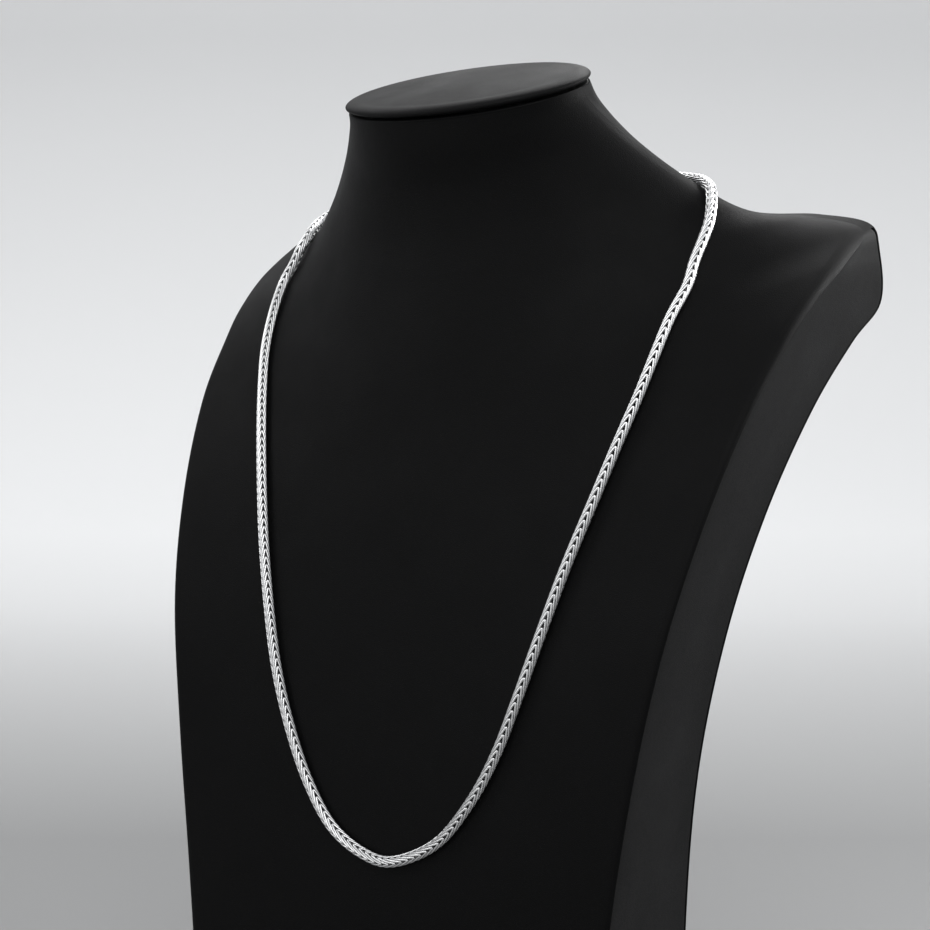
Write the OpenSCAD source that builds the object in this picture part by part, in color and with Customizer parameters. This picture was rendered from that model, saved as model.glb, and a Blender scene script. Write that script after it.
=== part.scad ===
// A woven wheat chain hanging on a plain leatherette neck bust.
// The origin is the centre of the foot's flat underside. The chest faces -Y and +Z is up.

/* [Stand] */
// Height of the neck rim above the foot, at the sides of the neck
stand_h = 295; // [240:1:360]
// Width over the shoulder tips
shoulder_w = 210; // [170:1:250]
// Depth from the chest to the back of the shoulder tips
stand_d = 111; // [95:1:130]
// Width of the foot
foot_w = 140; // [120:1:160]
// Depth of the foot
foot_d = 63; // [50:1:80]

/* [Neck] */
// Width of the neck at its rim
neck_w = 79; // [66:1:90]
// Depth of the neck at its rim, seen from above
neck_d = 47; // [40:1:56]
// How far the middle of the neck stands behind the middle of the foot
neck_back = 13; // [8:1:18]
// Forward tilt of the neck rim, in degrees
neck_tilt = 20.5; // [15:0.5:28]

/* [Neck pad] */
// Thickness of the pad at its rounded edge
pad_edge = 2.3; // [1.8:0.1:4]
// Rise of the pad's dome above its edge
pad_dome = 1.8; // [1.5:0.1:4]
// How far the pad stands out past the neck rim
pad_overhang = 0.9; // [0.4:0.1:2]
// Gap between the pad and the neck rim
pad_gap = 0.3; // [0.1:0.05:0.5]

/* [Side gussets] */
// Width of the rounded lip between the chest and a side gusset, at the shoulder
lip_w = 2.6; // [1.5:0.1:3.5]
// Thickness of a side gusset
gusset_t = 2; // [1:0.1:3]
// How far a gusset's face lies below the lip
gusset_recess = 0.8; // [0.3:0.1:1.5]
// Gap round and behind a gusset
gusset_gap = 0.3; // [0.1:0.05:0.6]

/* [Chain] */
// Width of the woven chain
chain_d = 3.1; // [2.4:0.1:3.6]
// Gap between the chain and the leatherette
chain_gap = 0.3; // [0.2:0.05:0.5]

/* [Clasp] */
// Diameter of the clasp's barrel
clasp_d = 4.2; // [3.8:0.1:5.5]
// Length of the clasp
clasp_l = 16; // [12:0.5:20]
// Length of the collar at each end of the clasp
clasp_collar = 1.5; // [1:0.1:2.5]

/* [Hidden] */

// Sections of the bust from below the neck rim to above the foot. Widths are shares of half of
// shoulder_w, heights are shares of stand_h, and depths are shares of stand_d behind the foot's middle.
// Columns: half width; height at side, front, back; depth at front, front edge, back edge, back;
// roundness of front, back (2 is an ellipse, 1 a parabola); rise of the back edge over the front edge.
SECTIONS = [
    [0.397, 0.982, 0.942, 1.010, -0.076, 0.145, 0.163, 0.342, 2.00, 2.0, 0],
    [0.473, 0.949, 0.903, 0.977, -0.047, 0.219, 0.237, 0.373, 1.90, 2.0, 0],
    [0.583, 0.914, 0.860, 0.941, -0.038, 0.307, 0.325, 0.408, 1.75, 1.9, 0],
    [0.718, 0.883, 0.819, 0.900, -0.046, 0.401, 0.424, 0.452, 1.60, 1.8, 0],
    [0.861, 0.877, 0.786, 0.862, -0.057, 0.515, 0.556, 0.487, 1.50, 1.5, 0.003],
    [0.984, 0.864, 0.757, 0.829, -0.068, 0.556, 0.626, 0.504, 1.42, 1.2, 0.006],
    [1.000, 0.830, 0.720, 0.796, -0.082, 0.404, 0.672, 0.504, 1.35, 1.0, 0.010],
    [0.982, 0.793, 0.681, 0.753, -0.097, 0.263, 0.719, 0.487, 1.28, 1.0, 0],
    [0.960, 0.755, 0.645, 0.717, -0.113, 0.159, 0.586, 0.456, 1.20, 1.0, 0],
    [0.925, 0.690, 0.586, 0.655, -0.143, 0.018, 0.411, 0.412, 1.12, 1.0, 0],
    [0.876, 0.595, 0.503, 0.572, -0.185, -0.114, 0.248, 0.346, 1.06, 1.0, 0],
    [0.821, 0.484, 0.411, 0.470, -0.225, -0.211, 0.143, 0.289, 1.00, 1.0, 0],
    [0.761, 0.352, 0.303, 0.345, -0.258, -0.256, 0.109, 0.250, 1.00, 1.0, 0],
    [0.707, 0.197, 0.174, 0.197, -0.277, -0.276, 0.147, 0.250, 1.00, 1.0, 0]
];

// Where the chain lies on the bust, from the clasp over the right shoulder, round the front and back.
// Columns: row of the bust; place round the row (0 mid front, 1 edge, 2.1 mid back, minus on the left);
// extra lift off the leatherette as a share of the chain's width.
ROUTE = [
    [3.3, 1.75, 0], [3.295, 1.51, 0.07], [3.24, 1.333, 0.033], [3.22, 1.19, 0], [3.315, 1.047, 0.055],
    [3.5, 0.994, 0.087], [3.82, 0.919, 0.036], [4.31, 0.815, 0.03], [4.85, 0.72, 0], [5.4, 0.65, 0],
    [6.05, 0.608, 0], [6.8, 0.604, 0], [7.7, 0.61, 0], [8.7, 0.62, 0], [9.5, 0.62, 0],
    [10.15, 0.61, 0], [10.8, 0.583, 0], [11.45, 0.556, 0], [12, 0.523, 0], [12.45, 0.475, 0],
    [12.83, 0.395, 0], [13.16, 0.27, 0], [13.35, 0.09, 0],
    [13.35, -0.05, 0], [13.2, -0.21, 0], [12.89, -0.33, 0], [12.48, -0.42, 0], [12, -0.485, 0],
    [11.45, -0.525, 0], [10.8, -0.56, 0], [10.15, -0.59, 0], [9.5, -0.615, 0], [8.7, -0.632, 0],
    [7.7, -0.64, 0], [6.8, -0.648, 0], [6.05, -0.659, 0], [5.4, -0.684, 0], [4.87, -0.73, 0.11],
    [4.445, -0.8, 0], [4.205, -0.87, 0], [4.03, -0.962, 0.067], [3.837, -1.022, 0.205],
    [3.663, -1.176, 0.232], [3.6, -1.394, 0.16], [3.48, -1.556, 0.03], [3.32, -1.75, 0]
];
CHAIN_RINGS = 80;
CHAIN_SIDES = 8;
// The clasp lies in this row, at the middle of the back
CLASP_ROW = 3.35;
MID_BACK = 2.1;

// Half depth of the narrow flat at each side of the neck rim
RIM_SIDE = 0.3;
// Width of the side at which the lip is full, and the share of the lip that is left at the foot
LIP_FULL = 20;
LIP_AT_FOOT = 0.4;
// Rows between which a side gusset runs, the flat left beside it, and the bevel of its edges
GUSSET_TOP = 6.12;
GUSSET_FOOT = 14.9;
GUSSET_MARGIN = 0.7;
GUSSET_BEVEL = 0.4;
// Steps of the bust: rings in a row, and points over half the front and half the back
ROW_STEPS = 3;
FRONT_STEPS = 9;
BACK_STEPS = 7;
// Points round the neck pad, steps of its rounded edge and of its dome
PAD_SIDES = 40;
PAD_EDGE_STEPS = 6;
PAD_DOME_STEPS = 5;

rim_rise = (neck_d / 2 - RIM_SIDE) * tan(neck_tilt);
RIM = [
    neck_w / 2,
    stand_h, stand_h - rim_rise, stand_h + rim_rise,
    neck_back - neck_d / 2, neck_back - RIM_SIDE, neck_back + RIM_SIDE, neck_back + neck_d / 2,
    2, 2, 0
];
FOOT = [
    foot_w / 2,
    0, 0, 0,
    -foot_d / 2, -foot_d / 2 + RIM_SIDE, 0.37 * foot_d, foot_d / 2,
    1, 1, 0
];
UNITS = [shoulder_w / 2, stand_h, stand_h, stand_h, stand_d, stand_d, stand_d, stand_d, 1, 1, stand_h];
ROWS = concat([RIM], [for (r = SECTIONS) [for (c = [0:10]) r[c] * UNITS[c]]], [FOOT]);
LAST = len(ROWS) - 1;

function clamp(v, low, high) = min(high, max(low, v));

function unit(v) = v / norm(v);

// A smooth curve through the points of a list, at place p along it
function curve(list, p) =
    let (
        last = len(list) - 1,
        i = clamp(floor(p), 0, last - 1),
        f = p - i,
        b = list[i],
        c = list[i + 1],
        a = i > 0 ? list[i - 1] : 2 * b - c,
        d = i + 2 <= last ? list[i + 2] : 2 * c - b
    )
    b + 0.5 * f * (c - a + f * (2 * a - 5 * b + 4 * c - d + f * (3 * (b - c) + d - a)));

// Width of the lip along the edge of row s
function lip(row, s) =
    lip_w * min(1, (row[6] - row[5]) / LIP_FULL) * (1 - (1 - LIP_AT_FOOT) * clamp((s - 6) / 8, 0, 1));

// A row's outline from its middle (u = 0) to near its edge (u = 1), with [depth, height] of both
function quarter(row, s, u, edge, mid, n) =
    let (
        across = (1 - lip(row, s) / row[0]) * ((2 - n) * u + (n - 1) * sin(90 * u)),
        out = pow(1 - across * across, 1 / n),
        up = pow(out, 1 + (n - 1) * min(1, s / 2))
    )
    [row[0] * across, edge[0] + (mid[0] - edge[0]) * out, edge[1] + (mid[1] - edge[1]) * up];

function front(row, s, u) = quarter(row, s, u, [row[5], row[1]], [row[4], row[2]], row[8]);
function back(row, s, u) = quarter(row, s, u, [row[6], row[1] + row[10]], [row[7], row[3]], row[9]);

// The flat side of a row between its two lips, from q = 0 to 3
function side(row, s, q) =
    let (
        l = lip(row, s),
        corners = [
            front(row, s, 1),
            [row[0], row[5] + l, row[1]],
            [row[0], row[6] - l, row[1] + row[10]],
            back(row, s, 1)
        ],
        i = clamp(floor(q), 0, 2)
    )
    corners[i] + (q - i) * (corners[i + 1] - corners[i]);

// Point on the bust's skin in row s, at place t round it
function skin(s, t) =
    let (
        row = curve(ROWS, s),
        p = abs(t),
        back_p = MID_BACK - p,
        q = p <= 1 ? front(row, s, p)
            : back_p <= 1 ? back(row, s, back_p)
            : side(row, s, 3 * (p - 1) / (MID_BACK - 2))
    )
    [t < 0 ? -q[0] : q[0], q[1], q[2]];

// Outward direction of the skin there
function outward(s, t) =
    unit(cross(skin(s + 0.05, t) - skin(s - 0.05, t), skin(s, t + 0.03) - skin(s, t - 0.03)));

// Places round a row, from mid front by the right side to mid back, and on by the left side
HALF_RING = concat(
    [for (i = [0:FRONT_STEPS]) i / FRONT_STEPS],
    [for (i = [1:2]) 1 + i * (MID_BACK - 2) / 3],
    [for (i = [0:BACK_STEPS]) MID_BACK - 1 + i / BACK_STEPS]
);
RING = concat(HALF_RING, [for (i = [len(HALF_RING) - 2:-1:1]) -HALF_RING[i]]);

// Corners of a gusset in row s, or of its rebate, which is larger by a gap and open to the side.
// Its inner edges slant in by the gusset's thickness, which keeps the wall behind the shoulder thick.
function gusset_ring(s, gap) =
    let (
        row = curve(ROWS, s),
        l = lip(row, s) + GUSSET_MARGIN - gap,
        b = GUSSET_BEVEL,
        face = gap > 0 ? row[0] + b + gap : row[0] - gusset_recess,
        knee = row[0] - gusset_recess - 2 * b,
        inner = row[0] - gusset_recess - gusset_t - gap,
        y1 = row[5] + l,
        y2 = row[6] - l,
        slope = row[10] / (row[6] - row[5]),
        end_z = s == GUSSET_TOP ? gap : s == GUSSET_FOOT ? -gap : 0
    )
    [for (c = [
        [face - b, y1], [face, y1 + b], [face, y2 - b],
        [face - b, y2], [knee, y2],
        [inner, y2 - gusset_t], [inner, y1 + gusset_t], [knee, y1]
    ]) [c[0], c[1], row[1] + slope * (c[1] - row[5]) + end_z]];

GUSSET_ROWS = concat(
    [GUSSET_TOP],
    [for (k = [ceil(GUSSET_TOP * ROW_STEPS):floor(GUSSET_FOOT * ROW_STEPS)]) k / ROW_STEPS],
    [GUSSET_FOOT]
);

// Rings of the neck pad from the top of its dome down, in the plane of the neck rim
pad_r = pad_edge / 2;
pad_half_w = neck_w / 2 + pad_overhang;
pad_half_d = neck_d / 2 / cos(neck_tilt) + pad_overhang;
PAD_PROFILE = concat(
    [for (i = [1:PAD_DOME_STEPS])
        let (k = i / (PAD_DOME_STEPS + 1))
        [(1 - k) * pad_half_d, pad_gap + pad_edge + pad_dome * (1 - k * k)]],
    [for (i = [0:PAD_EDGE_STEPS])
        let (a = 90 - 180 * i / PAD_EDGE_STEPS)
        [pad_r * (1 - cos(a)), pad_gap + pad_r * (1 + sin(a))]]
);

// Middle of the clasp, and the chain's end beside it on one side
clasp_mid = skin(CLASP_ROW, MID_BACK) + (clasp_d / 2 + chain_gap) * outward(CLASP_ROW, MID_BACK);
function chain_end(side) = clasp_mid + [side * (clasp_l / 2 + chain_gap), 0, 0];

// The chain's middle line and the direction away from the bust along it
LINE = concat(
    [chain_end(1)],
    [for (r = ROUTE) skin(r[0], r[1]) + (chain_d * (0.5 + r[2]) + chain_gap) * outward(r[0], r[1])],
    [chain_end(-1)]
);
AWAY = concat(
    [outward(CLASP_ROW, MID_BACK)],
    [for (r = ROUTE) outward(r[0], r[1])],
    [outward(CLASP_ROW, MID_BACK)]
);

function chain_ring(k) =
    let (
        p = k * (len(LINE) - 1) / (CHAIN_RINGS - 1),
        along = unit(curve(LINE, p + 0.02) - curve(LINE, p - 0.02)),
        across = unit(cross(along, curve(AWAY, p))),
        up = cross(across, along)
    )
    [for (i = [0:CHAIN_SIDES - 1])
        let (a = 360 * i / CHAIN_SIDES)
        curve(LINE, p) + chain_d / 2 * (cos(a) * across + sin(a) * up)];

function mean(points) = [for (c = [0:2]) [for (p = points) p[c]] * [for (p = points) 1] / len(points)];

// A closed solid through rings of points, with a fan at each end
module loft(rings) {
    n = len(rings[0]);
    m = len(rings);
    points = concat([for (r = rings) each r], [mean(rings[0]), mean(rings[m - 1])]);
    faces = concat(
        [for (k = [0:m - 2], j = [0:n - 1]) [k * n + j, k * n + (j + 1) % n, (k + 1) * n + (j + 1) % n]],
        [for (k = [0:m - 2], j = [0:n - 1]) [k * n + j, (k + 1) * n + (j + 1) % n, (k + 1) * n + j]],
        [for (j = [0:n - 1]) [m * n, (j + 1) % n, j]],
        [for (j = [0:n - 1]) [m * n + 1, (m - 1) * n + j, (m - 1) * n + (j + 1) % n]]
    );
    polyhedron(points, faces, convexity = 6);
}

module gusset_solid(gap) {
    loft([for (s = GUSSET_ROWS) gusset_ring(s, gap)]);
}

module bust_form() {
    color("#1c1c1e")
    difference() {
        loft([for (k = [0:LAST * ROW_STEPS]) [for (t = RING) skin(k / ROW_STEPS, t)]]);
        gusset_solid(gusset_gap);
        mirror([1, 0, 0]) gusset_solid(gusset_gap);
    }
}

module gusset_right() {
    color("#2a2a2c") gusset_solid(0);
}

module gusset_left() {
    color("#2a2a2c") mirror([1, 0, 0]) gusset_solid(0);
}

module neck_pad() {
    color("#333336")
    translate([0, neck_back, stand_h])
    rotate([neck_tilt, 0, 0])
    loft([for (r = PAD_PROFILE) [for (i = [0:PAD_SIDES - 1])
        let (a = 360 * i / PAD_SIDES)
        [(pad_half_w - r[0] * pad_half_w / pad_half_d) * cos(a), (pad_half_d - r[0]) * sin(a), r[1]]]]);
}

module wheat_chain() {
    color("#c9cacc") loft([for (k = [0:CHAIN_RINGS - 1]) chain_ring(k)]);
}

module clasp() {
    r = clasp_d / 2;
    h = clasp_l / 2;
    bevel = 0.15 * r;
    end = [
        [0.7 * r, h], [0.85 * r, h - bevel],
        [0.85 * r, h - clasp_collar], [r, h - clasp_collar - 2 * bevel]
    ];
    color("#c9cacc")
    translate(clasp_mid)
    rotate([0, 90, 0])
    rotate_extrude($fn = 32)
    polygon(concat([[0, h]], end, [for (i = [len(end) - 1:-1:0]) [end[i][0], -end[i][1]]], [[0, -h]]));
}

bust_form();
gusset_left();
gusset_right();
neck_pad();
wheat_chain();
clasp();
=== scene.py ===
# %% [markdown]
# # A wheat chain on a neck bust
# This lesson dresses a measured model: a silver wheat chain that hangs on a black leatherette bust.
# The measured model, called the frame, already holds every piece at its true size and place.
# Lengths are in millimetres until the last step of each mesh.

# %% Load the frame
import math

import bmesh
import bpy
import numpy as np
from mathutils import Matrix, Vector


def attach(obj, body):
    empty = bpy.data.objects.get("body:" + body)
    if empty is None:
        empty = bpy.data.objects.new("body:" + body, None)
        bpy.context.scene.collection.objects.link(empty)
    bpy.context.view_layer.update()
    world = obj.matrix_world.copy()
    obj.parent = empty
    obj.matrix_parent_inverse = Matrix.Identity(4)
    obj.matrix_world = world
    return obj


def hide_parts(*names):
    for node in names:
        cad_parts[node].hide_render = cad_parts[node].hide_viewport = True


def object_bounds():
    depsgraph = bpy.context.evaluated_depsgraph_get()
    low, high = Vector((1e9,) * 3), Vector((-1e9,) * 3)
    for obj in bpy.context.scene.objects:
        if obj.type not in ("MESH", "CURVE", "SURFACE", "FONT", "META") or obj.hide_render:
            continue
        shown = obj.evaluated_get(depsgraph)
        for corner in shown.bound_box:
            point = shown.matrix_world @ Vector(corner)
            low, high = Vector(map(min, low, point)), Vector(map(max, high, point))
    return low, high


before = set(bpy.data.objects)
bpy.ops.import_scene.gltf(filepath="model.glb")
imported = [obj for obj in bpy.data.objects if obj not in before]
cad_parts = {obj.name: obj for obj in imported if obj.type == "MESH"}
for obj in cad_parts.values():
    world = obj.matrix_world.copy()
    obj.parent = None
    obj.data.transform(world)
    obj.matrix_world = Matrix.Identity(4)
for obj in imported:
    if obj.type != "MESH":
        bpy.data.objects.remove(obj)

frame_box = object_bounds()
print("nodes", sorted(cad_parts))
print("frame box", [[round(v, 4) for v in corner] for corner in frame_box])

# %% [markdown]
# ## The camera
# A camera is a place, a direction and a lens. The three directions of this one, its right, its up
# and its back, are the columns of a rotation matrix, so nothing has to be aimed by hand. It stands
# to the right of the chest, turned 35 degrees, and looks 5 degrees down, through a 70 mm lens.

# %% Camera
scene = bpy.context.scene
turn, pitch = math.radians(35), math.radians(5)
right = Vector((math.cos(turn), math.sin(turn), 0))
back = Vector((math.sin(turn) * math.cos(pitch), -math.cos(turn) * math.cos(pitch), math.sin(pitch)))
camera = bpy.data.objects.new("camera", bpy.data.cameras.new("camera"))
scene.collection.objects.link(camera)
axes = Matrix((right, back.cross(right), back)).transposed().to_4x4()
camera.matrix_world = Matrix.Translation((0.3096, -0.4296, 0.2331)) @ axes
camera.data.sensor_width = 36
camera.data.lens = 70.26
camera.data.clip_start, camera.data.clip_end = 0.01, 20
scene.camera = camera
print("camera", [round(v, 4) for v in camera.location], "lens", camera.data.lens)

# %% [markdown]
# ## The bust's sections
# The bust is a loft: a skin drawn over a ladder of cross sections, as over the ribs of a boat. Each
# row of the table is one rib. It could be sculpted instead, but the chain has to lie on exactly this
# skin, so the same table and the same formulas as in the measured model are used here, only finer.

# %% Sizes and sections
STAND_H, SHOULDER_W, STAND_D = 295, 210, 111
FOOT_W, FOOT_D = 140, 63
NECK_W, NECK_D, NECK_BACK, NECK_TILT = 79, 47, 13, math.radians(20.5)
LIP_W, LIP_FULL, LIP_AT_FOOT = 2.6, 20, 0.4
RIM_SIDE = 0.3
# Half width; height at side, front, back; depth at front, front edge, back edge, back;
# roundness of front, back; rise of the back edge
SECTIONS = [
    [0.397, 0.982, 0.942, 1.010, -0.076, 0.145, 0.163, 0.342, 2.00, 2.0, 0],
    [0.473, 0.949, 0.903, 0.977, -0.047, 0.219, 0.237, 0.373, 1.90, 2.0, 0],
    [0.583, 0.914, 0.860, 0.941, -0.038, 0.307, 0.325, 0.408, 1.75, 1.9, 0],
    [0.718, 0.883, 0.819, 0.900, -0.046, 0.401, 0.424, 0.452, 1.60, 1.8, 0],
    [0.861, 0.877, 0.786, 0.862, -0.057, 0.515, 0.556, 0.487, 1.50, 1.5, 0.003],
    [0.984, 0.864, 0.757, 0.829, -0.068, 0.556, 0.626, 0.504, 1.42, 1.2, 0.006],
    [1.000, 0.830, 0.720, 0.796, -0.082, 0.404, 0.672, 0.504, 1.35, 1.0, 0.010],
    [0.982, 0.793, 0.681, 0.753, -0.097, 0.263, 0.719, 0.487, 1.28, 1.0, 0],
    [0.960, 0.755, 0.645, 0.717, -0.113, 0.159, 0.586, 0.456, 1.20, 1.0, 0],
    [0.925, 0.690, 0.586, 0.655, -0.143, 0.018, 0.411, 0.412, 1.12, 1.0, 0],
    [0.876, 0.595, 0.503, 0.572, -0.185, -0.114, 0.248, 0.346, 1.06, 1.0, 0],
    [0.821, 0.484, 0.411, 0.470, -0.225, -0.211, 0.143, 0.289, 1.00, 1.0, 0],
    [0.761, 0.352, 0.303, 0.345, -0.258, -0.256, 0.109, 0.250, 1.00, 1.0, 0],
    [0.707, 0.197, 0.174, 0.197, -0.277, -0.276, 0.147, 0.250, 1.00, 1.0, 0],
]
rim_rise = (NECK_D / 2 - RIM_SIDE) * math.tan(NECK_TILT)
rim = [NECK_W / 2, STAND_H, STAND_H - rim_rise, STAND_H + rim_rise, NECK_BACK - NECK_D / 2,
       NECK_BACK - RIM_SIDE, NECK_BACK + RIM_SIDE, NECK_BACK + NECK_D / 2, 2, 2, 0]
foot = [FOOT_W / 2, 0, 0, 0, -FOOT_D / 2, -FOOT_D / 2 + RIM_SIDE, 0.37 * FOOT_D, FOOT_D / 2, 1, 1, 0]
units = [SHOULDER_W / 2] + [STAND_H] * 3 + [STAND_D] * 4 + [1, 1, STAND_H]
ROWS = [np.array(row, float) for row in [rim] + [np.multiply(r, units) for r in SECTIONS] + [foot]]
LAST = len(ROWS) - 1
print("rows", len(ROWS))

# %% [markdown]
# ## The bust's skin
# A row is an ellipse where its roundness is 2 and a flatter parabola where it is 1, which is how the
# round neck turns into a flat chest. Between rows a smooth curve runs through the table's values.

# %% Skin of the bust
MID_BACK = 2.1


def curve(points, place):
    """A smooth curve through the points, at a place along it."""
    last = len(points) - 1
    i = min(max(math.floor(place), 0), last - 1)
    f = place - i
    b, c = points[i], points[i + 1]
    a = points[i - 1] if i > 0 else 2 * b - c
    d = points[i + 2] if i + 2 <= last else 2 * c - b
    return b + 0.5 * f * (c - a + f * (2 * a - 5 * b + 4 * c - d + f * (3 * (b - c) + d - a)))


def lip_width(row, s):
    """Width of the rolled lip along the edge of row s."""
    taper = 1 - (1 - LIP_AT_FOOT) * min(max((s - 6) / 8, 0), 1)
    return LIP_W * min(1, (row[6] - row[5]) / LIP_FULL) * taper


def quarter(row, s, u, edge, mid, n):
    """A row's outline from its middle (u = 0) to near its edge (u = 1)."""
    across = (1 - lip_width(row, s) / row[0]) * ((2 - n) * u + (n - 1) * math.sin(u * math.pi / 2))
    out = max(1 - across * across, 0) ** (1 / n)
    up = out ** (1 + (n - 1) * min(1, s / 2))
    return np.array([row[0] * across, edge[0] + (mid[0] - edge[0]) * out, edge[1] + (mid[1] - edge[1]) * up])


def front(row, s, u):
    return quarter(row, s, u, (row[5], row[1]), (row[4], row[2]), row[8])


def rear(row, s, u):
    return quarter(row, s, u, (row[6], row[1] + row[10]), (row[7], row[3]), row[9])


def side_corners(row, s):
    """The four corners of a row's side: ends of the chest, of both lips and of the back."""
    lip = lip_width(row, s)
    return [front(row, s, 1), np.array([row[0], row[5] + lip, row[1]]),
            np.array([row[0], row[6] - lip, row[1] + row[10]]), rear(row, s, 1)]


def skin(s, t):
    """The point in row s at place t round it: 0 mid front, 1 edge, MID_BACK mid back, minus on the left."""
    row, p = curve(ROWS, s), abs(t)
    if p <= 1:
        point = front(row, s, p)
    elif MID_BACK - p <= 1:
        point = rear(row, s, MID_BACK - p)
    else:
        q = 3 * (p - 1) / (MID_BACK - 2)
        i = min(max(math.floor(q), 0), 2)
        corners = side_corners(row, s)
        point = corners[i] + (q - i) * (corners[i + 1] - corners[i])
    return point * (-1 if t < 0 else 1, 1, 1)


def unit(v):
    return v / np.linalg.norm(v)


def outward(s, t):
    """The direction away from the skin there."""
    return unit(np.cross(skin(s + 0.05, t) - skin(s - 0.05, t), skin(s, t + 0.03) - skin(s, t - 0.03)))


print("mid chest", np.round(skin(10, 0), 1), "faces", np.round(outward(10, 0), 2))

# %% [markdown]
# ## From rings to a mesh
# Most pieces here are rings of points joined by four-sided faces, with a cap at each end. One helper
# lists those faces. Another makes the object from points and faces, hangs it on the frame's body, and
# hides the measured solid it stands for. Edges that bend hard stay crisp and all the others are
# shaded smooth.


# %% Mesh helpers
def ring_faces(rings, sides, closed=False):
    """Faces between rings of points. Closed, the last ring meets the first; else both ends are capped."""
    k, j = np.meshgrid(np.arange(rings if closed else rings - 1), np.arange(sides), indexing="ij")
    next_ring, next_side = (k + 1) % rings, (j + 1) % sides
    corners = [(k, j), (k, next_side), (next_ring, next_side), (next_ring, j)]
    faces = np.stack([ring * sides + side for ring, side in corners], -1).reshape(-1, 4).tolist()
    if not closed:
        faces += [list(range(sides)), list(range((rings - 1) * sides, rings * sides))]
    return faces


def make_piece(name, points, faces, node, material, crisp=35):
    mesh = bpy.data.meshes.new(name)
    mesh.from_pydata((np.asarray(points, float) / 1000).tolist(), [], faces)
    mesh.shade_smooth()
    work = bmesh.new()
    work.from_mesh(mesh)
    bmesh.ops.recalc_face_normals(work, faces=work.faces)
    for edge in work.edges:
        edge.smooth = not edge.is_manifold or edge.calc_face_angle() < math.radians(crisp)
    work.to_mesh(mesh)
    work.free()
    mesh.materials.append(material)
    piece = bpy.data.objects.new(name, mesh)
    scene.collection.objects.link(piece)
    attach(piece, "root")
    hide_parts(node)
    print(name, len(mesh.vertices), "points", sum(len(p.vertices) - 2 for p in mesh.polygons), "triangles")
    return piece


# %% [markdown]
# ## Leatherette
# Leatherette is a vinyl skin pressed with a fine pebble grain: closed cells about half a millimetre
# wide with soft furrows between them. A picture would show seams where it repeats, so the grain
# comes from a cell texture in the object's own space, broken up by noise. The same furrows drive
# the bump and a darker colour, which is painted shade, and a slow noise varies the gloss as
# wear does.


# %% Leatherette material
GRAIN, GRAIN_DEPTH = 0.45, 0.06


def node_after(tree, kind, **inputs):
    node = tree.nodes.new(kind)
    for name, value in inputs.items():
        node.inputs[name.replace("_", " ")].default_value = value
    return node


def ramp(tree, source, low, high, at=(0.0, 1.0)):
    node = tree.nodes.new("ShaderNodeValToRGB")
    node.color_ramp.elements[0].position, node.color_ramp.elements[1].position = at
    node.color_ramp.elements[0].color = (*np.broadcast_to(low, 3), 1)
    node.color_ramp.elements[1].color = (*np.broadcast_to(high, 3), 1)
    tree.links.new(source, node.inputs["Fac"])
    return node.outputs["Color"]


def leatherette(name, furrow_shade, cell, gloss):
    """Pebble grained vinyl, from the colours of its cells and of its furrows, darkened as painted shade, and
    its range of roughness.
    """
    material = bpy.data.materials.new(name)
    material.use_nodes = True
    tree = material.node_tree
    skin_shader = tree.nodes["Principled BSDF"]
    place = tree.nodes.new("ShaderNodeTexCoord").outputs["Object"]
    wander = node_after(tree, "ShaderNodeTexNoise", Scale=300.0, Detail=2.0)
    tree.links.new(place, wander.inputs["Vector"])
    shifted = tree.nodes.new("ShaderNodeVectorMath")
    shifted.operation = "MULTIPLY_ADD"
    shifted.inputs[1].default_value = (0.0006,) * 3
    tree.links.new(wander.outputs["Color"], shifted.inputs[0])
    tree.links.new(place, shifted.inputs[2])
    cells = node_after(tree, "ShaderNodeTexVoronoi", Scale=1000.0 / GRAIN)
    cells.feature = "DISTANCE_TO_EDGE"
    tree.links.new(shifted.outputs[0], cells.inputs["Vector"])
    pebble = ramp(tree, cells.outputs["Distance"], 0.0, 1.0, (0.0, 0.35))
    pores = node_after(tree, "ShaderNodeTexNoise", Scale=2600.0, Detail=3.0)
    tree.links.new(place, pores.inputs["Vector"])
    height = tree.nodes.new("ShaderNodeMix")
    height.inputs["Factor"].default_value = 0.25
    tree.links.new(pebble, height.inputs["A"])
    tree.links.new(pores.outputs["Fac"], height.inputs["B"])
    bump = node_after(tree, "ShaderNodeBump", Strength=0.6, Distance=GRAIN_DEPTH / 1000)
    tree.links.new(height.outputs["Result"], bump.inputs["Height"])
    tree.links.new(bump.outputs["Normal"], skin_shader.inputs["Normal"])
    # The furrows are coloured darker than the cells: painted shade in the grain
    tree.links.new(ramp(tree, pebble, furrow_shade, cell), skin_shader.inputs["Base Color"])
    wear = node_after(tree, "ShaderNodeTexNoise", Scale=40.0, Detail=5.0, Roughness=0.6)
    tree.links.new(place, wear.inputs["Vector"])
    roughness = ramp(tree, wear.outputs["Fac"], *gloss, (0.3, 0.7))
    tree.links.new(roughness, skin_shader.inputs["Roughness"])
    skin_shader.inputs["Specular IOR Level"].default_value = 0.1
    return material


form_leatherette = leatherette("form_leatherette", 0.0015, (0.003, 0.003, 0.0033), (0.5, 0.62))
# Painted light: the side panels' leatherette is a lighter copy of the form's, for the light falling on the
# bust's sides
gusset_leatherette = leatherette("gusset_leatherette", 0.006, (0.016, 0.016, 0.0166), (0.48, 0.6))
# Painted light: the pad's leatherette is a lighter copy of the form's, for the light falling on its top
pad_leatherette = leatherette("pad_leatherette", 0.003, (0.007, 0.007, 0.0074), (0.5, 0.62))
print("materials", [m.name for m in (form_leatherette, gusset_leatherette, pad_leatherette)])

# %% [markdown]
# ## The bust form
# The real form is a hard core covered with leatherette. The chest cover is turned over a bead at
# its edge, which shows as a rolled lip with a crease on the chest's side, and between the lips each
# side has a shallow rebate that a separate panel is set into. The loft gives the large shape. The
# roll, the crease and the rebate are added ring by ring, as moves across the edge, because a
# modifier would round every edge alike.

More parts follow.
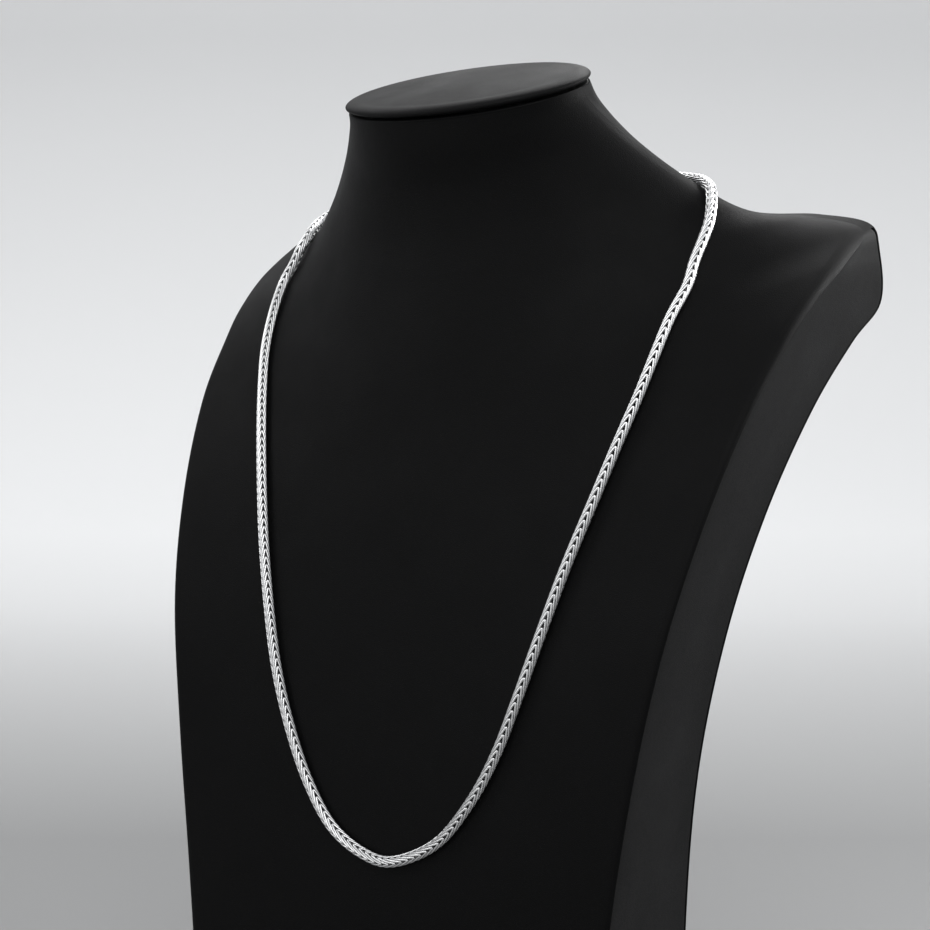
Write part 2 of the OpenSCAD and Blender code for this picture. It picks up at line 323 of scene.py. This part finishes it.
# %% Rings of the bust form
GUSSET_TOP, GUSSET_FOOT = 6.12, 14.9
GUSSET_MARGIN, GUSSET_GAP, GUSSET_RECESS, GUSSET_T = 0.7, 0.3, 0.8, 2
FRONT_ROLL, REAR_ROLL = 0.19, 0.05
CREASE, CREASE_WIDTH, CREASE_FADE = 0.22, 0.55, 1.2
ROLL_STEPS = 12
CHEST_OUT, REAR_OUT = np.array([0.707, -0.707, 0]), np.array([0.707, 0.707, 0])
FRONT_PLACES = np.concatenate([np.linspace(0, 0.93, 30), [0.95, 0.965, 0.977, 0.987, 0.994, 1]])
REAR_PLACES = np.concatenate([[1, 0.99, 0.975, 0.95], np.linspace(0.92, 0, 22)])


def edge_details(path, corner, end, away, lip, roll):
    """Presses the crease beside the lip into path, and gives the roll of the lip from corner to end."""
    path = np.array(path)
    deepest = CREASE * min(1, lip / CREASE_FADE)
    depth = deepest * np.exp(-(np.linalg.norm(path - corner, axis=1) / CREASE_WIDTH) ** 2)
    start = corner - deepest * away
    w = np.linspace(0, 1, ROLL_STEPS)[1:, None]
    rolled = start + (end - start) * w + away * roll * lip * np.sin(math.pi * w) ** 0.8
    return path - depth[:, None] * away, rolled


def half_ring(s, rebate):
    row = curve(ROWS, s)
    lip = lip_width(row, s)
    chest_end, front_lip, rear_lip, back_end = side_corners(row, s)
    chest_path = [front(row, s, u) for u in FRONT_PLACES]
    rear_path = [rear(row, s, u) for u in REAR_PLACES]
    chest_path, front_roll = edge_details(chest_path, chest_end, front_lip, CHEST_OUT, lip, FRONT_ROLL)
    rear_path, rear_roll = edge_details(rear_path, back_end, rear_lip, REAR_OUT, lip, REAR_ROLL)
    slope = (rear_lip[2] - front_lip[2]) / max(rear_lip[1] - front_lip[1], 0.01)
    y1 = row[5] + lip + GUSSET_MARGIN - GUSSET_GAP
    y2 = row[6] - lip - GUSSET_MARGIN + GUSSET_GAP
    if rebate:
        # A small bevel beside each lip, then the rebate's walls, and its sloping floor
        knee = row[0] - GUSSET_RECESS - 0.8
        floor = row[0] - GUSSET_RECESS - GUSSET_T - GUSSET_GAP
        flat = [(row[0] - 0.12, y1 - 0.1), (row[0] - 0.3, y1), (knee, y1), (floor, y1 + GUSSET_T),
                (floor, y2 - GUSSET_T), (knee, y2), (row[0] - 0.3, y2), (row[0] - 0.12, y2 + 0.1)]
    else:
        flat = [(row[0], front_lip[1] + (rear_lip[1] - front_lip[1]) * k)
                for k in (0.02, 0.05, 0.1, 0.35, 0.65, 0.9, 0.95, 0.98)]
    side = [np.array([x, y, front_lip[2] + slope * (y - front_lip[1])]) for x, y in flat]
    return np.vstack([chest_path, front_roll, side, rear_roll[::-1], rear_path])


STEP = 10
rows_wanted = [(k / STEP, GUSSET_TOP < k / STEP < GUSSET_FOOT) for k in range(LAST * STEP + 1)]
rows_wanted += [(GUSSET_TOP, False), (GUSSET_TOP + 1e-3, True)]
rows_wanted += [(GUSSET_FOOT - 1e-3, True), (GUSSET_FOOT, False)]
halves = [half_ring(s, rebate) for s, rebate in sorted(rows_wanted)]
mirror = np.array([-1, 1, 1])
rings = [np.vstack([h, (h * mirror)[-2:0:-1]]) for h in halves]
print(len(rings), "rings of", len(rings[0]), "points")

# %% [markdown]
# The neck's rim is trimmed with a small rounded edge, which catches the thin line of light under
# the pad. It could be bevelled, but a few more rings, drawn in towards the neck's middle, do it as
# well: each has a width inwards and a depth below the rim. The whole form is then held inside the
# measured box, which its finer curve would leave by a hair.

# %% Bust form
neck_mid = np.array([0, NECK_BACK, STAND_H])
top = rings[0]
inward = (neck_mid - top) / np.linalg.norm(neck_mid - top, axis=1)[:, None]
RIM_TRIM = [(9, 0.5), (0.9, 0.45), (0.4, 0.5), (0.12, 0.7), (0, 1)]
rings = [top + inward * width - (0, 0, depth) for width, depth in RIM_TRIM] + rings[1:]
form_points = np.clip(np.vstack(rings), *(1000 * np.array(frame_box)))
make_piece("bust_form_cover", form_points, ring_faces(len(rings), len(top)),
           "bust_form", form_leatherette)

# %% [markdown]
# ## The side panels
# Each side of the bust is closed by a separate panel, padded a little, whose edges turn in. It is a
# loft again: every ring is a rounded rectangle with a crowned outer face, a hair below the lips. The
# padding swells towards the rear edge, and lower down towards the front edge too.


# %% Side panels
PANEL_CROWN, SHORT_REAR = 0.3, 0.25
FRONT_SOFT, FRONT_SOFT_LOW, REAR_SOFT = 1.1, 0.5, 0.35
REAR_SWELL, REAR_SWELL_WIDTH = 0.62, 14
FRONT_SWELL, FRONT_SWELL_WIDTH = 0.35, 4


def panel_ring(s, inset=0.0):
    row = curve(ROWS, s)
    lip = lip_width(row, s)
    slope = row[10] / (row[6] - row[5])
    y1 = row[5] + lip + GUSSET_MARGIN + inset
    y2 = row[6] - lip - GUSSET_MARGIN + SHORT_REAR - inset
    face = row[0] - GUSSET_RECESS - PANEL_CROWN * inset
    tight = min(max((10 - s) / 2, 0), 1)
    soft_1 = min(FRONT_SOFT + (FRONT_SOFT_LOW - FRONT_SOFT) * tight, (y2 - y1) / 4)
    soft_2 = min(REAR_SOFT, (y2 - y1) / 4)
    quarter_turn = np.linspace(0, math.pi / 2, 7)
    loop = [(face - soft_1 * (1 - math.sin(a)), y1 + soft_1 * (1 - math.cos(a))) for a in quarter_turn]
    flat = y2 - y1 - soft_1 - soft_2
    loop += [(face + PANEL_CROWN * math.sin(math.pi * w) ** 0.7, y1 + soft_1 + flat * w)
             for w in np.linspace(0, 1, 18)[1:-1]]
    loop += [(face - soft_2 * (1 - math.sin(a)), y2 - soft_2 * (1 - math.cos(a))) for a in quarter_turn[::-1]]

    def swell(y):
        from_rear = (y2 - y) / min(REAR_SWELL_WIDTH, (y2 - y1) / 2)
        from_front = (y - y1) / FRONT_SWELL_WIDTH
        return REAR_SWELL * max(0, 1 - from_rear) ** 2 + FRONT_SWELL * tight * max(0, 1 - from_front) ** 2

    loop = [(x + swell(y), y) for x, y in loop]
    inner = row[0] - GUSSET_RECESS - GUSSET_T
    loop += [(inner, y2 - GUSSET_T), (inner, y1 + GUSSET_T)]
    return np.array([[x, y, row[1] + slope * (y - row[5])] for x, y in loop])


# The first two rings are drawn in, which rounds the panel's upper end
first, last = math.ceil(GUSSET_TOP * STEP), int(GUSSET_FOOT * STEP)
panel_rings = [panel_ring(GUSSET_TOP, 0.8), panel_ring(first / STEP, 0.25)]
panel_rings += [panel_ring(k / STEP) for k in range(first + 1, last + 1)]
panel_faces = ring_faces(len(panel_rings), len(panel_rings[0]))
for node, flip in (("gusset_right", 1), ("gusset_left", -1)):
    make_piece(node + "_panel", np.vstack(panel_rings) * (flip, 1, 1), panel_faces, node,
               gusset_leatherette)

# %% [markdown]
# ## The neck pad
# The neck is closed by an oval pad: a disc of board with thin foam on it, wrapped in leatherette.
# The foam makes a low dome and the wrap pulls the edge round. The loft runs down the dome and round
# the edge, then back under, and the whole disc is tilted with the neck.

# %% Neck pad
PAD_EDGE, PAD_DOME, PAD_GAP, PAD_OVERHANG = 2.3, 1.8, 0.3, 0.9
PAD_SIDES = 144
half_w = NECK_W / 2 + PAD_OVERHANG
half_d = NECK_D / 2 / math.cos(NECK_TILT) + PAD_OVERHANG
ROLL_TOP, ROLL_UNDER = 3.4, 1.5
edge_top, widest = PAD_GAP + PAD_EDGE + 0.35, PAD_GAP + 1.05
dome_top = PAD_GAP + PAD_EDGE + PAD_DOME
profile = [(half_d - (half_d - ROLL_TOP) * k, edge_top + (dome_top - edge_top) * (1 - k * k))
           for k in np.linspace(0.04, 0.96, 22)]
profile += [(ROLL_TOP * (1 - math.sin(a)), widest + (edge_top - widest) * math.cos(a))
            for a in np.linspace(0, math.pi / 2, 14)]
profile += [(ROLL_UNDER * (1 - math.cos(a)), widest - (widest - PAD_GAP) * math.sin(a))
            for a in np.linspace(0, math.pi / 2, 9)[1:]]
profile += [(half_d * 0.3, PAD_GAP), (half_d * 0.9, PAD_GAP)]
around = np.linspace(0, 2 * math.pi, PAD_SIDES, endpoint=False)
flat_rings = [np.stack([(half_w - r * half_w / half_d) * np.cos(around), (half_d - r) * np.sin(around),
                        np.full_like(around, z)], 1) for r, z in profile]
tilt_c, tilt_s = math.cos(NECK_TILT), math.sin(NECK_TILT)
tilt = np.array([[1, 0, 0], [0, tilt_c, -tilt_s], [0, tilt_s, tilt_c]])
pad_points = np.vstack(flat_rings) @ tilt.T + neck_mid
neck_pad = make_piece("neck_pad_cover", pad_points, ring_faces(len(flat_rings), PAD_SIDES),
                      "neck_pad", pad_leatherette)

# %% [markdown]
# ## Silver
# Polished silver has almost no colour of its own: it shows what is round it. So the base is a pale
# metal, the gloss is broken by faint noise, and a bump of a few microns stands for handling marks.


# %% Silver material
def silver(name, colour, gloss, recess=None):
    """Polished silver; recess names an attribute, 0 to 1, by which painted shade darkens what lies deep
    between the links.
    """
    material = bpy.data.materials.new(name)
    material.use_nodes = True
    tree = material.node_tree
    metal = tree.nodes["Principled BSDF"]
    metal.inputs["Metallic"].default_value = 1
    place = tree.nodes.new("ShaderNodeTexCoord").outputs["Object"]
    marks = node_after(tree, "ShaderNodeTexNoise", Scale=900.0, Detail=4.0)
    tree.links.new(place, marks.inputs["Vector"])
    tint = ramp(tree, marks.outputs["Fac"], 0.9 * np.array(colour), colour, (0.35, 0.6))
    if recess:
        depth = tree.nodes.new("ShaderNodeAttribute")
        depth.attribute_name = recess
        # Painted shade: a dark metal colour mixed in where the wire lies deep inside the weave
        recess_shade = tree.nodes.new("ShaderNodeMix")
        recess_shade.data_type = "RGBA"
        recess_shade.inputs["B"].default_value = (0.3, 0.3, 0.305, 1)
        tree.links.new(depth.outputs["Fac"], recess_shade.inputs["Factor"])
        tree.links.new(tint, recess_shade.inputs["A"])
        tint = recess_shade.outputs["Result"]
    tree.links.new(tint, metal.inputs["Base Color"])
    tree.links.new(ramp(tree, marks.outputs["Fac"], *gloss, (0.3, 0.7)), metal.inputs["Roughness"])
    bump = node_after(tree, "ShaderNodeBump", Strength=0.15, Distance=0.00002)
    tree.links.new(marks.outputs["Fac"], bump.inputs["Height"])
    tree.links.new(bump.outputs["Normal"], metal.inputs["Normal"])
    return material


chain_silver = silver("chain_silver", (0.97, 0.97, 0.97), (0.3, 0.4), "recess")
clasp_silver = silver("clasp_silver", (0.88, 0.88, 0.89), (0.16, 0.26))
print("materials", [m.name for m in (chain_silver, clasp_silver)])

# %% [markdown]
# ## Where the chain lies
# The chain's path is the same list of places on the skin as in the measured model: over the
# shoulders, down the chest and across the back to the clasp. Each place is lifted off the skin by
# half the chain, less a hair, because the corners of the weave stand out. A smooth curve joins
# them, and a table of distances along it lets every link be set at an even pitch. The outermost
# links reach a little way into the clasp's ends.

# %% Route of the chain
CHAIN_D, CHAIN_GAP = 3.1, 0.3
SETTLE, CLASP_ENTRY = 0.12, 1.2
CLASP_D, CLASP_L, CLASP_COLLAR, CLASP_ROW = 4.2, 16, 1.5, 3.35
ROUTE = [
    [3.3, 1.75, 0], [3.295, 1.51, 0.07], [3.24, 1.333, 0.033], [3.22, 1.19, 0], [3.315, 1.047, 0.055],
    [3.5, 0.994, 0.087], [3.82, 0.919, 0.036], [4.31, 0.815, 0.03], [4.85, 0.72, 0], [5.4, 0.65, 0],
    [6.05, 0.608, 0], [6.8, 0.604, 0], [7.7, 0.61, 0], [8.7, 0.62, 0], [9.5, 0.62, 0],
    [10.15, 0.61, 0], [10.8, 0.583, 0], [11.45, 0.556, 0], [12, 0.523, 0], [12.45, 0.475, 0],
    [12.83, 0.395, 0], [13.16, 0.27, 0], [13.35, 0.09, 0],
    [13.35, -0.05, 0], [13.2, -0.21, 0], [12.89, -0.33, 0], [12.48, -0.42, 0], [12, -0.485, 0],
    [11.45, -0.525, 0], [10.8, -0.56, 0], [10.15, -0.59, 0], [9.5, -0.615, 0], [8.7, -0.632, 0],
    [7.7, -0.64, 0], [6.8, -0.648, 0], [6.05, -0.659, 0], [5.4, -0.684, 0], [4.87, -0.73, 0.11],
    [4.445, -0.8, 0], [4.205, -0.87, 0], [4.03, -0.962, 0.067], [3.837, -1.022, 0.205],
    [3.663, -1.176, 0.232], [3.6, -1.394, 0.16], [3.48, -1.556, 0.03], [3.32, -1.75, 0],
]
back_out = outward(CLASP_ROW, MID_BACK)
clasp_mid = skin(CLASP_ROW, MID_BACK) + (CLASP_D / 2 + CHAIN_GAP) * back_out
end_step = np.array([CLASP_L / 2 + CHAIN_GAP, 0, 0])
on_skin = [skin(s, t) + (CHAIN_D * (0.5 + lift) + CHAIN_GAP - SETTLE) * outward(s, t)
           for s, t, lift in ROUTE]
entry = end_step - (CHAIN_GAP + CLASP_ENTRY, 0, 0)
line = [clasp_mid + entry] + on_skin + [clasp_mid - entry]
away = [back_out] + [outward(s, t) for s, t, lift in ROUTE] + [back_out]

FINE = 40
places = np.linspace(0, len(line) - 1, (len(line) - 1) * FINE + 1)
path = np.array([curve(line, p) for p in places])
path_away = np.array([curve(away, p) for p in places])
distance = np.concatenate([[0], np.cumsum(np.linalg.norm(np.diff(path, axis=0), axis=1))])
along = np.gradient(path, distance, axis=0)
along /= np.linalg.norm(along, axis=1)[:, None]
across = np.cross(along, path_away)
across /= np.linalg.norm(across, axis=1)[:, None]
up = np.cross(across, along)
print("chain", round(distance[-1], 1), "mm, with the clasp", round(distance[-1] + 2 * entry[0], 1), "mm")

# %% [markdown]
# ## One link of a wheat chain
# A wheat link starts as a long oval ring. It is folded so that both of its ends point one way and
# both of its waists the other way, and the links are threaded through each other a third of a link
# apart. Each of the four sides then shows arrowheads, one in another like the grains of an ear of
# wheat, and the arrowheads of neighbouring sides point opposite ways. Modelling the fold by hand is
# guesswork, so the ring is written as a closed curve: once round a square with soft corners, while
# it goes twice up and down along the chain. The side of the wire that faces the inside of the weave
# gets a value of its own, recess, by which the silver's material darkens it with painted shade.

# %% Link
PITCH = 2.38
LINK_LENGTH = 6.2
HALF_FACE, SQUARENESS = 1.23, 3
WIRE_OUT, WIRE_ALONG = 0.28, 0.31
BEND_SOFTNESS = 0.09
STEPS, WIRE_SIDES = 72, 10


def soft_square(angle):
    """Round a square with soft corners: the point at an angle."""
    c, s = np.cos(angle), np.sin(angle)
    size = HALF_FACE / (abs(c) ** SQUARENESS + abs(s) ** SQUARENESS) ** (1 / SQUARENESS)
    return np.stack([size * c, size * s], 1)


angles = np.linspace(0, 2 * math.pi, 1441)
walked = np.concatenate([[0], np.cumsum(np.linalg.norm(np.diff(soft_square(angles), axis=0), axis=1))])
step = np.arange(STEPS) / STEPS
wave = 4 * math.pi * step
rise = (np.cos(wave) + BEND_SOFTNESS * np.cos(3 * wave)) / (1 + BEND_SOFTNESS)
ring = np.column_stack([soft_square(np.interp(step * walked[-1], walked, angles)), LINK_LENGTH / 2 * rise])
heading = np.roll(ring, -1, 0) - np.roll(ring, 1, 0)
outer = np.column_stack([heading[:, 1], -heading[:, 0], np.zeros(STEPS)])
outer /= np.linalg.norm(outer, axis=1)[:, None]
heading /= np.linalg.norm(heading, axis=1)[:, None]
sideways = np.cross(heading, outer)
psi = np.linspace(0, 2 * math.pi, WIRE_SIDES, endpoint=False)
link = ring[:, None] + WIRE_OUT * np.cos(psi)[None, :, None] * outer[:, None] + \
    WIRE_ALONG * np.sin(psi)[None, :, None] * sideways[:, None]
link = link.reshape(-1, 3)
# Round the wire's section: bare on the outside of the weave, dark with painted shade on its inside
link_recess = np.tile(np.clip(0.2 - 1.1 * np.cos(psi), 0, 1), STEPS)
print("link", np.round(np.ptp(link, axis=0), 2), "mm")

# %% [markdown]
# ## The woven chain
# Every link is laid along the path: a point's distance along the link becomes a distance along the
# path, so the link bends with it, and the section turns slowly, as the real chain does when it is
# laid down. An array on a curve could do it, but here each link is placed by a formula and the
# links are joined in two meshes, which stay light enough.

# %% Chain
TURN, TWIST = math.radians(28), math.radians(13) / 230
reach = np.abs(link[:, 2]).max()
count = int((distance[-1] - 2 * reach) // PITCH) + 1
pitch = (distance[-1] - 2 * reach) / (count - 1)


def follow(values, at):
    """The values, one row for each place of the table, at other distances along the path."""
    return np.stack([np.interp(at, distance, values[:, c]) for c in range(3)], 1)


def lay_link(k):
    middle = reach + k * pitch
    at = np.clip(middle + link[:, 2], 0, distance[-1])
    centre, u, v = (follow(values, at) for values in (path, across, up))
    angle = TURN + TWIST * (middle - distance[-1] / 2)
    x = link[:, 0] * math.cos(angle) - link[:, 1] * math.sin(angle)
    y = link[:, 0] * math.sin(angle) + link[:, 1] * math.cos(angle)
    return centre + u * x[:, None] + v * y[:, None]


link_faces = np.array(ring_faces(STEPS, WIRE_SIDES, closed=True))
for name, mine in (("wheat_chain_right", range(count // 2)), ("wheat_chain_left", range(count // 2, count))):
    points = np.vstack([lay_link(k) for k in mine])
    faces = np.vstack([link_faces + k * len(link) for k in range(len(mine))]).tolist()
    chain = make_piece(name, points, faces, "wheat_chain", chain_silver, crisp=179)
    recess = chain.data.attributes.new("recess", "FLOAT", "POINT")
    recess.data.foreach_set("value", np.tile(link_recess, len(mine)))
print(count, "links, pitch", round(pitch, 3), "mm")

# %% [markdown]
# ## The clasp
# The chain closes at the back of the neck with a plain barrel. A lathe shape suits it: a profile
# turned about its axis, with a narrower collar at each end, small bevels that catch the light, and a
# fine groove round the middle.

# %% Clasp
r, h = CLASP_D / 2, CLASP_L / 2
bevel = 0.15 * r
collar_end = h - CLASP_COLLAR
half_profile = [(0.02, h), (0.62 * r, h), (0.76 * r, h - 0.3 * bevel), (0.85 * r, h - bevel),
                (0.85 * r, collar_end), (0.86 * r, collar_end - 0.2 * bevel), (0.95 * r, collar_end - bevel),
                (r, collar_end - 2 * bevel), (r, 0.3), (0.97 * r, 0.12)]
turned = half_profile + [(radius, -x) for radius, x in half_profile[::-1]]
spin = np.linspace(0, 2 * math.pi, 64, endpoint=False)
clasp_points = np.vstack([np.stack([np.full_like(spin, x), radius * np.cos(spin), radius * np.sin(spin)], 1)
                          for radius, x in turned]) + clasp_mid
make_piece("clasp_barrel", clasp_points, ring_faces(len(turned), len(spin)),
           "clasp", clasp_silver, crisp=40)

# %% [markdown]
# ## The floor
# The floor and the wall are one pale sheet that sweeps up behind the bust, as in a photo studio, so
# no edge of it shows. It is a strip of quads along a drawn profile. The wall stands more than a metre
# away, so that the bust can be seen from behind as well.

# %% Floor
SHEET_HALF_WIDTH, WALL_FOOT, SWEEP_RADIUS, WALL_TOP = 3.5, 0.8, 0.5, 2.8
wall = WALL_FOOT + SWEEP_RADIUS
sweep = [(-1.6, 0.0), (-0.6, 0.0), (WALL_FOOT, 0.0)]
sweep += [(WALL_FOOT + SWEEP_RADIUS * math.sin(a), SWEEP_RADIUS * (1 - math.cos(a)))
          for a in np.linspace(0, math.pi / 2, 24)[1:]]
sweep += [(wall, WALL_TOP / 2), (wall, WALL_TOP)]
depth_way = np.array([-math.sin(turn), math.cos(turn)])
width_way = np.array([math.cos(turn), math.sin(turn)])
sheet_points = [[*(depth_way * d + width_way * w), z]
                for w in (-SHEET_HALF_WIDTH, SHEET_HALF_WIDTH) for d, z in sweep]
n = len(sweep)
sheet = bpy.data.meshes.new("studio_floor")
sheet.from_pydata(sheet_points, [], [[k, k + 1, n + k + 1, n + k] for k in range(n - 1)])
sheet.shade_smooth()
studio_floor = bpy.data.objects.new("studio_floor", sheet)
scene.collection.objects.link(studio_floor)
print("floor", len(sheet.polygons), "quads, wall", wall, "m behind")

# %% [markdown]
# ## The floor's paper
# Studio paper is matt, with a cloudy trace of its fibres. Near the bust it is darker, so that the
# black foot does not mirror a white floor. A second sheet could do that, but a ramp along the depth,
# multiplied with the fibres, leaves no edge.

# %% Paper
paper = bpy.data.materials.new("studio_paper")
paper.use_nodes = True
tree = paper.node_tree
paper_shader = tree.nodes["Principled BSDF"]
paper_shader.inputs["Roughness"].default_value = 0.8
paper_shader.inputs["Specular IOR Level"].default_value = 0.2
fibre = node_after(tree, "ShaderNodeTexNoise", Scale=6.0, Detail=6.0)
paper_depth = tree.nodes.new("ShaderNodeVectorMath")
paper_depth.operation = "DOT_PRODUCT"
paper_depth.inputs[1].default_value = (*depth_way, 0)
tree.links.new(tree.nodes.new("ShaderNodeTexCoord").outputs["Object"], paper_depth.inputs[0])
shade = tree.nodes.new("ShaderNodeMix")
shade.data_type, shade.blend_type = "RGBA", "MULTIPLY"
shade.inputs["Factor"].default_value = 1
fibres = ramp(tree, fibre.outputs["Fac"], (0.76, 0.765, 0.77), 0.8)
paler_back = ramp(tree, paper_depth.outputs["Value"], 0.35, 1.0, (0.25, 1.05))
tree.links.new(fibres, shade.inputs["A"])
tree.links.new(paler_back, shade.inputs["B"])
tree.links.new(shade.outputs["Result"], paper_shader.inputs["Base Color"])
sheet.materials.append(paper)
print("paper", paper.name)

# %% [markdown]
# ## The light
# Black leatherette and polished silver show mainly what they mirror, so the lights are broad and
# soft. One in front is for the whole, and a smaller key light from the upper left for the chest and
# the chain. A weak one low in front is there for the lower links to mirror. A small one at the right
# picks out the shoulder and the side panel, one above lights the pad, and a long strip makes the wall
# brighter towards its top. A pale world fills the shadows.

# %% Lights
# Name: place, target, size, watts
LIGHTS = {
    "key_light": ((-0.75, -0.55, 0.8), (0, 0, 0.2), (0.4, 0.6), 2),
    "front_light": ((0.6, -0.9, 1.1), (0, 0, 0.2), (1.1, 1.1), 8),
    "low_light": ((-0.25, -0.85, 0.12), (0, 0, 0.1), (0.5, 0.5), 0.8),
    "shoulder_light": ((0.3, 0.25, 0.36), (0.105, 0.05, 0.22), (0.14, 0.14), 1.15),
    "pad_light": ((-0.1, 0.45, 0.8), (0, 0, 0.3), (0.3, 0.3), 1.45),
    "wall_light": ((-0.5, 0.95, 1.6), (-0.62, 1.13, 0.7), (2.8, 0.3), 17),
}
for name, (place, target, size, watts) in LIGHTS.items():
    lamp = bpy.data.lights.new(name, "AREA")
    lamp.shape, lamp.size, lamp.size_y = "RECTANGLE", *size
    lamp.energy = watts
    light = bpy.data.objects.new(name, lamp)
    light.location = place
    light.rotation_mode = "QUATERNION"
    light.rotation_quaternion = (Vector(target) - Vector(place)).to_track_quat("-Z", "Y")
    scene.collection.objects.link(light)
world = bpy.data.worlds.new("studio")
world.use_nodes = True
background = world.node_tree.nodes["Background"]
background.inputs["Color"].default_value = (0.9, 0.92, 0.95, 1)
background.inputs["Strength"].default_value = 0.46
scene.world = world
scene.view_settings.view_transform = "Standard"
print("lights", sorted(LIGHTS), "world", round(background.inputs["Strength"].default_value, 2))
